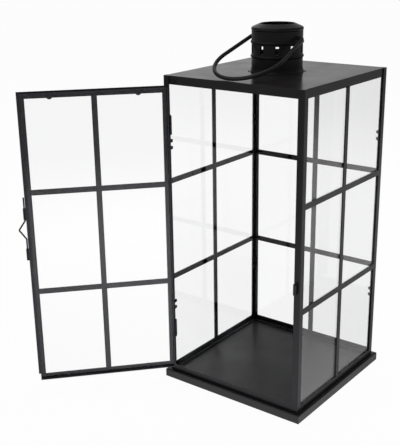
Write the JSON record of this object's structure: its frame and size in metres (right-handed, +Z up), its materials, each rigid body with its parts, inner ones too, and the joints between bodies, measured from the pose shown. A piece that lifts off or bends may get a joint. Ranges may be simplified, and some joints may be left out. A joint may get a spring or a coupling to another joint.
{
  "type": "candle lantern",
  "caption": "Square glazed candle lantern of black angle iron, with a hinged door, wire bolt, slotted chimney and folding bail handle.",
  "frame": {"origin": "middle of the footprint of the fixed body, in the plane of the tray's hem that stands on the ground", "axes": "+Z up, door side faces -Y, hinge on the -X side of the door, +X to the right of somebody who looks at the door side"},
  "size_m": [0.326, 0.3493, 0.4684],
  "materials": {
    "black_paint": "satin black powder coat",
    "door_paint": "satin black powder coat",
    "top_paint": "semi-gloss black powder coat",
    "chimney_paint": "satin black powder coat",
    "bail_paint": "semi-gloss black enamel",
    "wire_paint": "satin black enamel",
    "glass": "clear polished float glass"
  },
  "bodies": {
    "lantern": {"base_tray": "black_paint", "rail_left": "black_paint", "rail_back": "black_paint", "rail_right": "black_paint", "front_sill": "black_paint", "post_front_left": "black_paint", "post_front_right": "black_paint", "post_back_left": "black_paint", "post_back_right": "black_paint", "bar_left": "black_paint", "bar_back": "black_paint", "bar_right": "black_paint", "cross_bars_left": "black_paint", "cross_bars_back": "black_paint", "cross_bars_right": "black_paint", "pane_left": "glass", "pane_back": "glass", "pane_right": "glass", "pane_clips": "black_paint", "top_plate": "top_paint", "chimney_collar": "chimney_paint", "chimney_cap": "chimney_paint", "chimney_foot": "chimney_paint", "chimney_rivets": "chimney_paint", "hinge_post_halves": "black_paint", "hinge_pins": "wire_paint", "latch_keeper": "black_paint"},
    "door": {"door_hinge_stile": "door_paint", "door_latch_stile": "door_paint", "door_top_rail": "door_paint", "door_foot_rail": "door_paint", "door_bar": "door_paint", "door_cross_bars": "door_paint", "door_pane": "glass", "door_tabs": "door_paint", "hinge_door_halves": "door_paint", "latch_knuckles": "door_paint"},
    "bolt": {"latch_bolt": "wire_paint"},
    "bail": {"bail": "bail_paint"}
  },
  "joints": [
    {"name": "door_hinge", "type": "hinge", "parent": "lantern", "child": "door", "pos_m": [-0.0895, -0.1017, 0.21], "axis": [0, 0, -1], "range_deg": [-132, 40]},
    {"name": "bolt_slide", "type": "slide", "parent": "door", "child": "bolt", "axis": [0, 0, -1], "range_m": [0, 0.012]},
    {"name": "bail_pivot", "type": "hinge", "parent": "lantern", "child": "bail", "pos_m": [0, 0, 0.452], "axis": [-0.9976, 0.0698, 0], "range_deg": [0, 134.3]}
  ]
}
